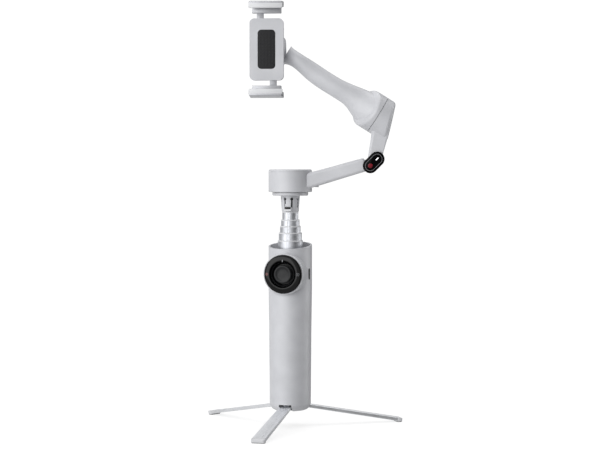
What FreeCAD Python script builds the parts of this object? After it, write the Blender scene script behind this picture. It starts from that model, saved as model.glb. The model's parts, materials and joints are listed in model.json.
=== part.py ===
import FreeCAD, Part
import math
import os
import re

# Phone gimbal with a telescopic rod and a fold-out tripod.
# Origin: mouth of the tripod thread in the middle of the handle's bottom.
# +Z runs up the handle, -Y is the front with the control wheel, +X is its right side.

Vector = FreeCAD.Vector
Rotation = FreeCAD.Rotation
Placement = FreeCAD.Placement
X, Y, Z = Vector(1, 0, 0), Vector(0, 1, 0), Vector(0, 0, 1)

doc = FreeCAD.newDocument("PhoneGimbal")
sheet = doc.addObject("Spreadsheet::Sheet", "Sizes")

sizes = {
    # handle
    "grip_height": 138.3, "rim_slant": 5.2, "base_split": 10.4, "grip_wall": 1.5,
    "grip_half_width_low": 17.6, "grip_half_width_top": 18.55,
    "grip_half_depth_low": 18.1, "grip_half_depth_top": 19.3,
    # control wheel, joystick, trigger, power button
    "wheel_height": 117.4, "wheel_face": 25.6, "boss_radius": 17.6, "boss_face": 22.5,
    "ring_radius": 16.4, "ring_bore": 10.65, "cap_radius": 7.7,
    "trigger_height": 118.0, "trigger_width": 10.4, "power_height": 116.9, "power_angle": 75.0,
    "power_length": 9.3, "power_width": 1.6, "button_gap": 0.25,
    # tripod
    "leg_reach": 99.7, "leg_width": 9.8, "leg_thickness": 3.0,
    "leg_hinge_radius": 12.5, "leg_hinge_height": 3.6, "leg_tip_length": 4.8,
    # telescopic rod, widest stage first
    "stage_low": 96.0,
    "stage_five": 10.85, "stage_four": 10.0, "stage_three": 8.95,
    "stage_two": 8.05, "stage_one": 7.0, "neck_radius": 6.0, "neck_bore": 5.3,
    "stage_five_top": 145.2, "stage_four_top": 151.8, "stage_three_top": 157.4,
    "stage_two_top": 162.9, "stage_one_top": 169.9,
    "collar_top": 183.4, "collar_low_radius": 7.25, "collar_top_radius": 8.2,
    # head
    "head_yaw": 11.3, "pan_radius": 18.55, "pan_low": 186.5, "pan_top": 205.8,
    "flange_radius": 15.3, "arm_plane": -6.0,
    "elbow_across": 71.5, "elbow_height": 212.0, "elbow_split": 66.2, "elbow_radius": 5.6,
    "badge_length": 20.7, "badge_width": 12.6,
    "roll_radius": 16.6, "roll_across": 74.45, "roll_height": 252.1,
    "roll_rise": 32.0, "roll_forward": 5.0,
    "bowl_start": 13.0, "bowl_lean": 28.0,
    "tilt_radius": 12.0, "tilt_depth": 2.5, "clamp_across": -18.7, "clamp_height": 306.7,
    # phone clamp
    "phone_width": 71.5, "phone_back": -20.0, "phone_thick": 7.9, "jaw_width": 28.6,
    "jaw_thick": 5.0, "clamp_half_height": 26.0, "clamp_depth": 8.0,
}
for row, (alias, value) in enumerate(sizes.items(), start=1):
    sheet.set(f"A{row}", alias)
    sheet.set(f"B{row}", str(value))
    sheet.setAlias(f"B{row}", alias)
doc.recompute()

nodes = []          # (object, node name)


def size(alias):
    return float(sheet.get(alias))


def expression(text):
    """Turn sheet aliases in a formula into references that the document follows."""
    return re.sub(r"[a-z]+_[a-z_]+", lambda found: "Sizes." + found.group(), text)


def place(at=(0, 0, 0), axis=Z, angle=0.0):
    return Placement(Vector(*at), Rotation(axis, angle))


def pointing(at, direction):
    """Placement whose own Z runs along direction."""
    return Placement(Vector(*at), Rotation(Z, Vector(*direction)))


def node(part, label, where=None):
    part.Label = label
    if where is not None:
        part.Placement = where
    nodes.append((part, label))
    return part


def primitive(kind, where=None, **formulas):
    part = doc.addObject("Part::" + kind, kind)
    for name, formula in formulas.items():
        part.setExpression(name, expression(str(formula)))
    if where is not None:
        part.Placement = where
    return part


def cylinder(radius, height, at=(0, 0, 0), direction=(0, 0, 1)):
    return primitive("Cylinder", pointing(at, direction), Radius=radius, Height=height)


def box(length, width, height, middle, where=None):
    """Box centred on middle; its sizes are formulas, so the centring is an expression too."""
    part = primitive("Box", None, Length=length, Width=width, Height=height)
    for axis, extent, centre in zip("xyz", (length, width, height), middle):
        part.setExpression("Placement.Base." + axis, expression(f"{centre} - ({extent}) / 2"))
    return part


def fused(*parts):
    whole = doc.addObject("Part::MultiFuse", "Fusion")
    whole.Shapes = list(parts)
    return whole


def cut(base, *tools):
    result = doc.addObject("Part::Cut", "Cut")
    result.Base = base
    result.Tool = tools[0] if len(tools) == 1 else fused(*tools)
    return result


def tube(outer, inner, height, at=(0, 0, 0), direction=(0, 0, 1)):
    bore_at = Vector(*at) - Vector(*direction).normalize()
    return cut(cylinder(outer, height, at, direction),
               cylinder(inner, f"{height} + 2", tuple(bore_at), direction))


def solid(shape, name="Solid"):
    part = doc.addObject("Part::Feature", name)
    part.Shape = shape
    return part


def origin_plane(body, role):
    return next(item for item in body.Origin.OriginFeatures if item.Role == role)


def body_with_sketch(name, role="XY_Plane"):
    body = doc.addObject("PartDesign::Body", name)
    sketch = body.newObject("Sketcher::SketchObject", name + "Sketch")
    sketch.AttachmentSupport = [(origin_plane(body, role), "")]
    sketch.MapMode = "FlatFace"
    return body, sketch


def pad(body, sketch, formula, both_ways=False):
    feature = body.newObject("PartDesign::Pad", "Pad")
    feature.Profile = sketch
    feature.setExpression("Length", expression(formula))
    feature.Midplane = both_ways
    return feature


def ellipse_wire(half_x, half_y, where):
    long_first = half_x >= half_y
    curve = Part.Ellipse(Vector(), max(half_x, half_y), min(half_x, half_y))
    wire = Part.Wire([curve.toShape()])
    turn = Placement() if long_first else Placement(Vector(), Rotation(Z, 90))
    wire.Placement = where * turn
    return wire


def rounded_rectangle(width, height, corner, where):
    """Wire in its own XY plane, centred on its origin."""
    across, up = width / 2, height / 2
    base = Part.makePolygon([Vector(-across, -up), Vector(across, -up), Vector(across, up),
                             Vector(-across, up), Vector(-across, -up)])
    face = Part.Face(Part.Wire(base.Edges))
    slab = face.extrude(Vector(0, 0, 1))
    upright = [edge for edge in slab.Edges if abs(edge.Vertexes[0].Z - edge.Vertexes[1].Z) > 0.5]
    slab = slab.makeFillet(corner, upright)
    bottom = min(slab.Faces, key=lambda side: side.CenterOfMass.z)
    wire = bottom.OuterWire.copy()
    wire.Placement = where
    return wire


def stadium(length, width, thickness, where):
    """Solid slot-shaped plate, long along its own X, rising along its own Z."""
    middle = (length - width) / 2
    radius = width / 2
    top = Part.LineSegment(Vector(-middle, radius), Vector(middle, radius))
    right = Part.Arc(Vector(middle, radius), Vector(middle + radius, 0), Vector(middle, -radius))
    low = Part.LineSegment(Vector(middle, -radius), Vector(-middle, -radius))
    left = Part.Arc(Vector(-middle, -radius), Vector(-middle - radius, 0), Vector(-middle, radius))
    wire = Part.Wire([curve.toShape() for curve in (top, right, low, left)])
    plate = Part.Face(wire).extrude(Vector(0, 0, thickness))
    plate.Placement = where
    return plate


world = Placement()
head = Placement(Vector(), Rotation(Z, size("head_yaw")))


# ---------------------------------------------------------------- handle
def grip_loft(inset, low, high):
    """Grip outline: an oval that widens a little towards the top, kept inset inside the skin."""
    middle = (size("grip_half_width_low") + size("grip_half_width_top")) / 2 - 0.05
    middle_depth = (size("grip_half_depth_low") + size("grip_half_depth_top")) / 2
    ovals = ((low, size("grip_half_width_low"), size("grip_half_depth_low")),
             (size("grip_height") * 0.5, middle, middle_depth),
             (size("grip_height") * 0.76, size("grip_half_width_top"), size("grip_half_depth_top")),
             (high, size("grip_half_width_top"), size("grip_half_depth_top")))
    wires = [ellipse_wire(half_x - inset, half_y - inset, place((0, 0, height)))
             for height, half_x, half_y in ovals]
    return Part.makeLoft(wires, True, True)


wheel_spot = Vector(0, 0, size("wheel_height"))
power_turn = Placement(Vector(), Rotation(Z, size("power_angle") - 90))
trigger_pin_at = Vector(0, 16.9, size("trigger_height") + 9.4)
trigger_pin_half = size("trigger_width") / 2 + 1.5
usb_height = 62.0
guide_reach = (100.0, 134.0)


def handle_shell():
    base_split, high = size("base_split"), size("grip_height") + 8
    skin = grip_loft(0, base_split + 0.15, high)
    boss = Part.makeCylinder(size("boss_radius"), size("boss_face"), wheel_spot, -Y)
    boss = boss.makeFillet(0.8, [edge for edge in boss.Edges
                                 if abs(edge.CenterOfMass.y + size("boss_face")) < 0.1 and edge.Closed])
    shell = skin.fuse(boss).cut(grip_loft(size("grip_wall"), base_split, high + 0.1))
    rim_angle = math.degrees(math.atan(size("rim_slant") / (2 * size("grip_half_depth_top"))))
    rim_cut = Part.makeBox(60, 60, 30, Vector(-30, -30, 0))
    rim_middle = size("grip_height") + size("rim_slant") / 2
    rim_cut.Placement = place((0, 0, rim_middle), X, rim_angle)
    wheel_bore = Part.makeCylinder(15.1, 30, wheel_spot, -Y)
    trigger_hole = Part.makeBox(size("trigger_width") + 1, 12, 25.6,
                                Vector(-size("trigger_width") / 2 - 0.5, 12, size("trigger_height") - 13.2))
    pin_bore = Part.makeCylinder(1.0, 2 * trigger_pin_half, trigger_pin_at - trigger_pin_half * X, X)
    button_gap = 2 * size("button_gap")
    button_hole = stadium(size("power_length") + button_gap, size("power_width") + button_gap, 12,
                          Placement())
    button_hole.Placement = (power_turn * place((12, 0, size("power_height")))
                             * Placement(Vector(), Rotation(Y, 90)))
    usb_hole = Part.makeBox(12, 9.4, 3.6, Vector(-26, -4.7, usb_height - 1.8))
    for tool in (rim_cut, wheel_bore, trigger_hole, pin_bore, button_hole, usb_hole):
        shell = shell.cut(tool)
    return node(solid(shell, "HandleShell"), "handle_shell", world)


def handle_base():
    base_split = size("base_split")
    low_x, low_y = size("grip_half_width_low"), size("grip_half_depth_low")
    outer = Part.makeLoft([ellipse_wire(low_x, low_y, place()),
                           ellipse_wire(low_x, low_y, place((0, 0, base_split - 0.15)))], True, True)
    bottom = [edge for edge in outer.Edges if abs(edge.CenterOfMass.z) < 0.01]
    outer = outer.makeFillet(6.2, bottom)
    spigot = Part.makeLoft([ellipse_wire(low_x - 1.7, low_y - 1.7, place((0, 0, base_split - 0.2))),
                            ellipse_wire(low_x - 1.7, low_y - 1.7, place((0, 0, base_split + 3)))],
                           True, True)
    hollow = Part.makeCylinder(14.2, base_split + 8, Vector(0, 0, 7.2))
    hub_well = Part.makeCylinder(10.2, 30, Vector(0, 0, -1))
    cap = outer.fuse(spigot).cut(hollow).cut(hub_well)
    for angle in leg_angles:
        notch = Part.makeBox(16, 10.9, 7.0, Vector(8.5, -5.45, -1))
        notch.Placement = place(axis=Z, angle=angle)
        cap = cap.cut(notch)
    return node(solid(cap, "HandleBase"), "handle_base", world)


def handle_inside():
    low, high = guide_reach
    running = 0.06
    sleeve = tube("stage_five + 1.1", f"stage_five + {running}", f"{high - low}", (0, 0, low))
    shelf = tube("grip_half_width_top - grip_wall - 0.1", "stage_five + 0.6", "2", (0, 0, high - 2.2))
    node(fused(sleeve, shelf), "rod_guide", world)

    cell_width, cell_thick, cell_height, cell_low = 14.0, 6.0, 37.0, 17.0
    cells = [primitive("Box", place((-cell_width / 2, side, cell_low)),
                       Length=cell_width, Width=cell_thick, Height=cell_height)
             for side in (8.5, -8.5 - cell_thick)]
    node(fused(*cells), "battery_cells", world)

    rings = [tube("15.6", "8.2", "1.6", (0, 0, height)) for height in (cell_low - 1.8, 54.2)]
    posts = [box("2.6", "4", "39", (side, 0, cell_low + 18.6)) for side in (-13.6, 13.6)]
    node(fused(*rings, *posts), "battery_cradle", world)

    node(box("15", "1.2", "36", (0, -13.9, 80)), "main_board", world)
    socket = cut(box("7.0", "9.0", "3.2", (-14.0, 0, usb_height)),
                 box("7.0", "8.3", "2.5", (-14.8, 0, usb_height)))
    tongue = box("5.0", "6.6", "0.7", (-13.2, 0, usb_height))
    node(fused(socket, tongue), "usb_socket", world)

    pin = cylinder("1.0", f"{2 * trigger_pin_half}", (-trigger_pin_half, trigger_pin_at.y, trigger_pin_at.z),
                   (1, 0, 0))
    node(pin, "trigger_pin", pin.Placement)


# ---------------------------------------------------------------- tripod
leg_angles = (-90.0, 30.0, 150.0)
hinge_at = Vector(size("leg_hinge_radius"), 0, size("leg_hinge_height"))
floor_level = -13.8
pin_radius = 0.9


def leg_frame(angle):
    """Placement whose X runs out along a leg from its hinge, sloping down to the floor."""
    drop = math.degrees(math.asin((hinge_at.z - floor_level - 1.55) / leg_length))
    return (Placement(Vector(), Rotation(Z, angle)) * Placement(hinge_at, Rotation(Y, drop)))


leg_length = math.hypot(size("leg_reach") - hinge_at.x, hinge_at.z - floor_level - 1.55)


def tripod_hub():
    hub = cylinder("9.9", "6.3", (0, 0, 0.4))
    lugs, wells, bores = [], [], []
    for angle in leg_angles:
        turn = Placement(Vector(), Rotation(Z, angle))
        lug = primitive("Box", turn * place((8.5, -4.9, 1.2)), Length=5.6, Width=9.8, Height=4.8)
        well = primitive("Box", turn * place((9.8, -3.1, 0)), Length=6, Width=6.2, Height=8)
        bore = primitive("Cylinder", turn * place((hinge_at.x, 6, hinge_at.z), X, 90),
                         Radius=pin_radius, Height=12)
        lugs.append(lug)
        wells.append(well)
        bores.append(bore)
    thread = cylinder("4.4", "20", (0, 0, -5))
    node(cut(fused(hub, *lugs), thread, *wells, *bores), "tripod_hub", world)

    pins = [primitive("Cylinder", Placement(Vector(), Rotation(Z, angle))
                      * place((hinge_at.x, 4.7, hinge_at.z), X, 90), Radius=pin_radius, Height=9.4)
            for angle in leg_angles]
    node(fused(*pins), "leg_hinge_pins", world)
    node(tube("4.4", "3.175", "7.4"), "tripod_socket", world)


def tripod_leg(number, angle):
    frame = leg_frame(angle)
    bar_end = leg_length - size("leg_tip_length")
    body, sketch = body_with_sketch(f"Leg{number}")
    root, tip = size("leg_width") / 2, size("leg_width") / 2 + 0.9
    start = 3.0
    corners = [Vector(start, -root), Vector(bar_end, -tip), Vector(bar_end, tip), Vector(start, root)]
    for first, second in zip(corners, corners[1:] + corners[:1]):
        sketch.addGeometry(Part.LineSegment(first, second), False)
    pad(body, sketch, "leg_thickness", both_ways=True)
    groove = body.newObject("Sketcher::SketchObject", f"Leg{number}GrooveSketch")
    groove.AttachmentSupport = [(origin_plane(body, "XY_Plane"), "")]
    groove.MapMode = "FlatFace"
    half = 0.45
    line = [Vector(9, -half), Vector(bar_end - 5, -half), Vector(bar_end - 5, half), Vector(9, half)]
    for first, second in zip(line, line[1:] + line[:1]):
        groove.addGeometry(Part.LineSegment(first, second), False)
    groove.AttachmentOffset = place((0, 0, size("leg_thickness") / 2 - 0.4))
    pocket = body.newObject("PartDesign::Pocket", "Groove")
    pocket.Profile = groove
    pocket.Length = 3.0
    pocket.Reversed = True
    doc.recompute()
    knuckle = Part.makeCylinder(1.9, 5.6, Vector(0, -2.8, 0), Y)
    neck = Part.makeBox(4.0, 5.6, 2.6, Vector(0, -2.8, -1.3))
    bore = Part.makeCylinder(pin_radius + 0.06, 8, Vector(0, -4, 0), Y)
    whole = body.Shape.fuse(knuckle).fuse(neck).cut(bore)
    node(solid(whole, f"LegBar{number}"), f"leg_bar_{number}", frame)

    block = Part.makeBox(size("leg_tip_length"), 2 * tip, 4.4, Vector(bar_end, -tip, -2.9))
    upright = [edge for edge in block.Edges
               if edge.BoundBox.ZLength > 4 and edge.CenterOfMass.x > bar_end + 1]
    block = block.makeFillet(1.6, upright)
    block.Placement = frame
    ground = Part.makeBox(300, 300, 60, Vector(-150, -150, floor_level))
    cap = block.common(ground)
    node(solid(cap, f"LegTip{number}"), f"leg_tip_{number}", world)


# ---------------------------------------------------------------- controls on the handle
def front_revolve(points, name):
    """Solid of revolution about the wheel's axis: points are (radius, distance in front)."""
    outline = Part.makePolygon([Vector(radius, -ahead, 0) for radius, ahead in points + points[:1]])
    shape = Part.Face(Part.Wire(outline.Edges)).revolve(Vector(), Y, 360)
    return solid(shape, name)


def controls():
    face = size("wheel_face")
    ring, bore = size("ring_radius"), size("ring_bore")
    spot = Placement(wheel_spot, Rotation())
    ring_outline = [(bore, face - 1.5), (bore + 0.6, face - 0.5), (bore + 1.15, face),
                    (bore + 3.05, face - 0.16), (ring - 0.9, face - 0.7), (ring - 0.2, face - 1.15),
                    (ring, face - 1.5), (ring, face - 2.4), (bore + 1.0, face - 2.4), (bore + 1.0, face - 6.2),
                    (bore, face - 6.2)]
    node(front_revolve(ring_outline, "ControlRing"), "control_ring", spot)
    node(front_revolve([(12.2, 20.6), (13.8, 20.6), (13.8, 19.0), (12.2, 19.0)], "RingCarrier"),
         "ring_carrier", spot)
    bowl = [(10.25, 24.0), (10.25, 18.2), (3.4, 18.2), (3.4, 19.0), (8.8, 19.0), (9.9, 24.0)]
    node(front_revolve(bowl, "JoystickBowl"), "joystick_bowl", spot)
    base = [(7.0, 18.1), (7.0, 13.0), (5.4, 13.0), (5.4, 18.1)]
    node(front_revolve(base, "JoystickBase"), "joystick_base", spot)
    node(front_revolve([(3.2, 17.2), (4.4, 17.2), (4.4, 14.8), (3.2, 14.8)], "JoystickYoke"),
         "joystick_yoke", spot)
    cap = size("cap_radius")
    profile = [(0, 24.4), (cap - 2.2, 24.6), (cap - 1.0, 25.2), (cap - 0.3, 25.0), (cap, 24.3),
               (cap - 0.7, 22.6), (1.6, 22.0), (1.5, 18.2), (2.3, 17.0), (2.3, 15.2), (1.4, 14.2),
               (0, 14.0)]
    node(front_revolve(profile, "JoystickCap"), "joystick_cap", spot)
    seat = [(14.9, 21.4), (14.9, 18.0), (8.6, 18.0), (8.6, 16.8), (7.1, 16.8), (7.1, 18.0),
            (10.3, 18.05), (10.3, 18.6), (14.0, 18.6), (14.0, 21.4)]
    node(front_revolve(seat, "WheelSeat"), "wheel_seat", spot)

    width, low = size("trigger_width"), size("trigger_height") - 12
    block = Part.makeBox(width, 5.8, 23.5, Vector(-width / 2, 15.5, low))
    long_edges = [edge for edge in block.Edges
                  if edge.BoundBox.ZLength > 20 and edge.CenterOfMass.y > 20]
    ends = [edge for edge in block.Edges
            if edge.BoundBox.XLength > 10 and edge.CenterOfMass.y > 20]
    block = block.makeFillet(1.8, long_edges + ends)
    finger = Part.makeCylinder(26, 40, Vector(-20, 45.4, size("trigger_height") - 1), X)
    bore = Part.makeCylinder(1.06, 30, trigger_pin_at - 15 * X, X)
    node(solid(block.cut(finger).cut(bore), "Trigger"), "trigger", world)

    pill = stadium(size("power_length"), size("power_width"), 2.5, Placement())
    node(solid(pill, "PowerButton"), "power_button",
         power_turn * place((16.55, 0, size("power_height"))) * Placement(Vector(), Rotation(Y, 90)))


# ---------------------------------------------------------------- telescopic rod
stage_words = ("five", "four", "three", "two", "one")


def rod():
    for index, word in enumerate(stage_words):
        low = size("stage_low") + index
        height = size(f"stage_{word}_top") - low
        if word == "one":
            neck = tube("neck_radius", "neck_bore", "collar_top - stage_one_top",
                        (0, 0, size("stage_one_top")))
            stage = fused(tube("stage_one", "neck_bore", f"{height}", (0, 0, low)), neck)
        else:
            bore = f"stage_{stage_words[index + 1]} + 0.06"
            stage = tube(f"stage_{word}", bore, f"{height}", (0, 0, low))
        node(stage, f"rod_stage_{5 - index}", world)


def collar():
    low, top = size("stage_one_top"), size("collar_top")
    small, large = size("collar_low_radius"), size("collar_top_radius")
    cone = Part.makeCone(small, large, top - low, Vector(0, 0, low))
    bore = Part.makeCylinder(size("neck_radius"), 40, Vector(0, 0, low - 1))
    sleeve = cone.cut(bore)
    for number in range(8):
        turn = Placement(Vector(), Rotation(Z, 45 * number + 15.3 - 90 + 10))
        slot = Part.makeBox(4, 1.5, 7.6, Vector(5.5, -0.75, low + 3.4))
        eye = Part.makeCylinder(1.35, 4, Vector(5.5, 0, low + 10.6), X)
        for cutter in (slot, eye):
            cutter.Placement = turn * cutter.Placement
            sleeve = sleeve.cut(cutter)
    node(solid(sleeve, "RodCollar"), "rod_collar", world)
    tab = Part.makeBox(1.5, 6.0, 7.0, Vector(0, -3.0, 0))
    tab = tab.cut(Part.makeBox(3, 5.0, 1.8, Vector(-1, -2.5, 0.9)))
    node(solid(tab, "LatchTab"), "latch_tab",
         Placement(Vector(), Rotation(Z, -90)) * place((small + 0.5, 0, low + 0.4)))


# ---------------------------------------------------------------- motors
def motor(name, where, core_radius, core_height, wall_radius, wall_height, shaft, lift=0.0):
    """Stator and magnet ring of one brushless motor, built up its own Z."""
    core = tube(f"{core_radius - 3.0}", f"{shaft + 3.4}", f"{core_height}")
    coils = [primitive("Box", Placement(Vector(), Rotation(Z, 40 * number))
                       * place((core_radius - 5.0, -1.4, 0.6)),
                       Length=4.6, Width=2.8, Height=core_height - 1.2) for number in range(9)]
    node(fused(core, *coils), name + "_stator", where)
    magnets = tube(f"{wall_radius}", f"{wall_radius - 1.0}", f"{wall_height}")
    node(magnets, name + "_magnets", where * place((0, 0, lift)))


# ---------------------------------------------------------------- pan motor and its arm
pan_floor = size("pan_low")
cup_wall = 1.9


def pan_base():
    """Fixed flange that joins the rod's collar to the pan motor."""
    low, flange = size("collar_top"), size("flange_radius")
    outline = [(size("neck_bore"), low), (flange - 0.6, low), (flange, low + 0.6), (flange, pan_floor - 0.3),
               (7.4, pan_floor - 0.3), (7.4, pan_floor + 0.5), (size("neck_bore"), pan_floor + 0.5)]
    wire = Part.makePolygon([Vector(radius, 0, height) for radius, height in outline + outline[:1]])
    shape = Part.Face(wire).revolve(Vector(), Z, 360)
    node(solid(shape, "PanBase"), "pan_base", world)


def arm_section(across, height, width, depth, lean, corner=2.6, plane=None):
    """Rounded rectangle across an arm that leans up from the horizontal by that many degrees."""
    turn = Rotation(Y, 90 - lean)
    middle = size("arm_plane") if plane is None else plane
    return rounded_rectangle(width, depth, corner, Placement(Vector(across, middle, height), turn))


def pan_arm():
    radius, top = size("pan_radius"), size("pan_top")
    cup = Part.makeCylinder(radius, top - 2.1 - pan_floor, Vector(0, 0, pan_floor))
    cup = cup.makeFillet(0.5, [edge for edge in cup.Edges
                               if edge.Closed and abs(edge.CenterOfMass.z - pan_floor) < 0.1])
    sections = [arm_section(8.0, 194.1, 13.0, 19.0, 15.5, plane=-1.5),
                arm_section(20.0, 197.2, 12.9, 18.0, 15.5, plane=-2.4),
                arm_section(43.0, 203.8, 12.1, 15.0, 15.8, plane=-4.6),
                arm_section(58.0, 208.1, 11.7, 13.8, 15.8),
                arm_section(62.0, 209.2, 11.5, 13.6, 15.8)]
    spar = Part.makeLoft(sections, True, False)
    split = size("elbow_split")
    cheek = Part.makeLoft([arm_section(61.5, 209.1, 11.5, 13.6, 15.8),
                           arm_section(split - 3.0, 209.7, 11.3, 13.4, 15.8),
                           arm_section(split - 2.0, 210.0, 10.2, 12.3, 15.8, 2.2)], True, True)
    hollow = Part.makeCylinder(radius - cup_wall, 60, Vector(0, 0, pan_floor - 1))
    pin_bore = Part.makeCylinder(2.0, 40, Vector(58.5, size("arm_plane"), size("elbow_height")), X)
    bumper = Part.makeCylinder(1.7, 3.2, Vector(23.0, -5.0, 190.6))
    whole = cup.fuse(spar).fuse(cheek).fuse(bumper).cut(hollow).cut(pin_bore)
    node(solid(whole, "PanArm"), "pan_arm", head)

    cap = Part.makeCylinder(radius, 2.0, Vector(0, 0, top - 2.0))
    cap = cap.makeFillet(1.5, [edge for edge in cap.Edges
                               if edge.Closed and abs(edge.CenterOfMass.z - top) < 0.1])
    plug = Part.makeCylinder(radius - cup_wall - 0.1, 1.9, Vector(0, 0, top - 3.8))
    shaft = Part.makeCylinder(4.0, top - 2.5 - (pan_floor + 1.0), Vector(0, 0, pan_floor + 1.0))
    cable_way = Part.makeCylinder(2.4, 40, Vector(0, 0, pan_floor - 1)).cut(
        Part.makeCylinder(6, 20, Vector(0, 0, top - 3.0)))
    node(solid(cap.fuse(plug).fuse(shaft).cut(cable_way), "PanCap"), "pan_cap", head)
    motor("pan", head * place((0, 0, pan_floor + 1.2)), core_radius=15.0, core_height=11.0,
          wall_radius=radius - cup_wall, wall_height=11.5, shaft=4.0, lift=0.6)
    node(tube("7.3", "4.06", "4"), "pan_bearing", place((0, 0, pan_floor + 1.5)))


def badge():
    """Status window in front of the elbow: bezel, glossy lens and two lamps, all at 45 degrees."""
    length, width = size("badge_length"), size("badge_width")
    front = size("arm_plane") - 9.1
    middle = Vector(size("elbow_across"), front, size("elbow_height") - 0.4)
    facing = Rotation(X, 90) * Rotation(Z, 45)
    plate = stadium(length, width, 1.6, Placement(middle + 1.6 * Y, facing))
    foot = Part.makeBox(2.3, 3.4, 5.8, Vector(size("elbow_split") - 2.7, front + 1.0,
                                             size("elbow_height") - 5.8))
    node(solid(plate.fuse(foot), "BadgeBezel"), "badge_bezel", head)
    lens = stadium(length - 0.8, width - 0.8, 0.9, Placement(middle, facing))
    lens = lens.makeFillet(0.4, [edge for edge in lens.Edges
                                 if abs(edge.CenterOfMass.y - (front - 0.9)) < 0.05])
    lamp_at = middle + Vector(-2.8, -0.5, -2.8)
    dash_at = middle + Vector(3.0, -0.5, 2.9)
    lamp = Part.makeCylinder(2.1, 0.5, lamp_at, -Y)
    dash = stadium(3.2, 1.0, 0.5, Placement(dash_at, facing))
    node(solid(lens.cut(lamp).cut(dash), "StatusWindow"), "status_window", head)
    node(solid(Part.makeCompound([lamp, dash]), "StatusLamps"), "status_lamps", head)
    pin = Part.makeCylinder(2.0, 15.5, Vector(58.5, size("arm_plane"), size("elbow_height")), X)
    node(solid(pin, "FoldPin"), "fold_pin", head)


# ---------------------------------------------------------------- roll arm
rise, forward = math.radians(size("roll_rise")), math.radians(size("roll_forward"))
roll_axis = Vector(-math.cos(rise) * math.cos(forward), -math.sin(forward),
                   math.sin(rise) * math.cos(forward))
roll_middle = Vector(size("roll_across"), size("arm_plane"), size("roll_height"))
roll_up = Vector(math.sin(rise), 0, math.cos(rise))
roll_frame = head * Placement(roll_middle, Rotation(roll_up, Vector(), roll_axis, "ZXY"))
seam_half_gap = 0.2
roll_pocket = 5.5
bell_radius = 13.9
bell_wall = 1.3
roll_shaft = 2.6


def in_roll_frame(shape):
    """Moves a shape drawn up the roll axis, with its own X up the seam, into the head's frame."""
    shape.Placement = head.inverse() * roll_frame * shape.Placement
    return shape


def roll_arm():
    plane, elbow, radius = size("arm_plane"), size("elbow_height"), size("roll_radius")
    blade = Part.makeLoft([arm_section(72.8, 213.2, 12.6, 13.4, 76.0, 2.2),
                           arm_section(74.5, 222.0, 14.2, 13.8, 76.0, 2.2),
                           arm_section(76.7, 233.0, 15.6, 16.8, 74.0, 3.0),
                           arm_section(78.8, 241.0, 20.4, 24.0, 68.0, 5.0),
                           arm_section(79.3, 246.0, 23.0, 28.0, 62.0, 7.0)], True, False)
    barrel_from = size("elbow_split") + 0.4
    barrel = Part.makeCylinder(size("elbow_radius"), 8.8, Vector(barrel_from, plane, elbow), X)
    root = Part.makeBox(11.6, 11.2, 6.0, Vector(barrel_from + 0.1, plane - 5.6, elbow))
    drum = in_roll_frame(Part.makeCylinder(radius, 26, Vector(0, 0, -26 - seam_half_gap)))
    outer_side, lower_side = (Part.makeBox(60, 80, 160, Vector(0, -40, -80)) for cutter in range(2))
    bend = Vector(84.7, plane, 238.4)       # where the arm's outer edge turns inwards
    outer_side.Placement = Placement(bend, Rotation(Y, 12.95))
    lower_side.Placement = Placement(bend, Rotation(Y, 16.1))
    drum = drum.cut(outer_side)
    blade = blade.cut(outer_side).cut(lower_side)
    slanted = [edge for edge in drum.Edges if edge.CenterOfMass.x > 82 and edge.Length > 30]
    drum = drum.makeFillet(3.4, slanted)
    room = in_roll_frame(Part.makeCylinder(radius + 9, 60, Vector(0, 0, -seam_half_gap)))
    hollow = in_roll_frame(Part.makeCylinder(radius - cup_wall, 8.0, Vector(0, 0, -roll_pocket)))
    shaft_bore = in_roll_frame(Part.makeCylinder(2.66, 8.0, Vector(0, 0, -roll_pocket - 1.8)))
    bore = Part.makeCylinder(2.06, 30, Vector(barrel_from - 1, plane, elbow), X)
    whole = blade.fuse(root).fuse(drum).fuse(barrel).cut(room).cut(hollow)
    whole = whole.cut(shaft_bore).cut(bore)
    node(solid(whole, "RollArm"), "roll_arm", head)
    motor("roll", roll_frame * place((0, 0, -roll_pocket)), core_radius=11.2, core_height=4.2,
          wall_radius=bell_radius - bell_wall, wall_height=4.1, shaft=roll_shaft, lift=0.6)


# ---------------------------------------------------------------- tilt arm and motor
tilt_middle = Vector(size("clamp_across"), size("tilt_depth"), size("clamp_height"))
tilt_frame = head * Placement(tilt_middle, Rotation(Y, 90))


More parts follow.
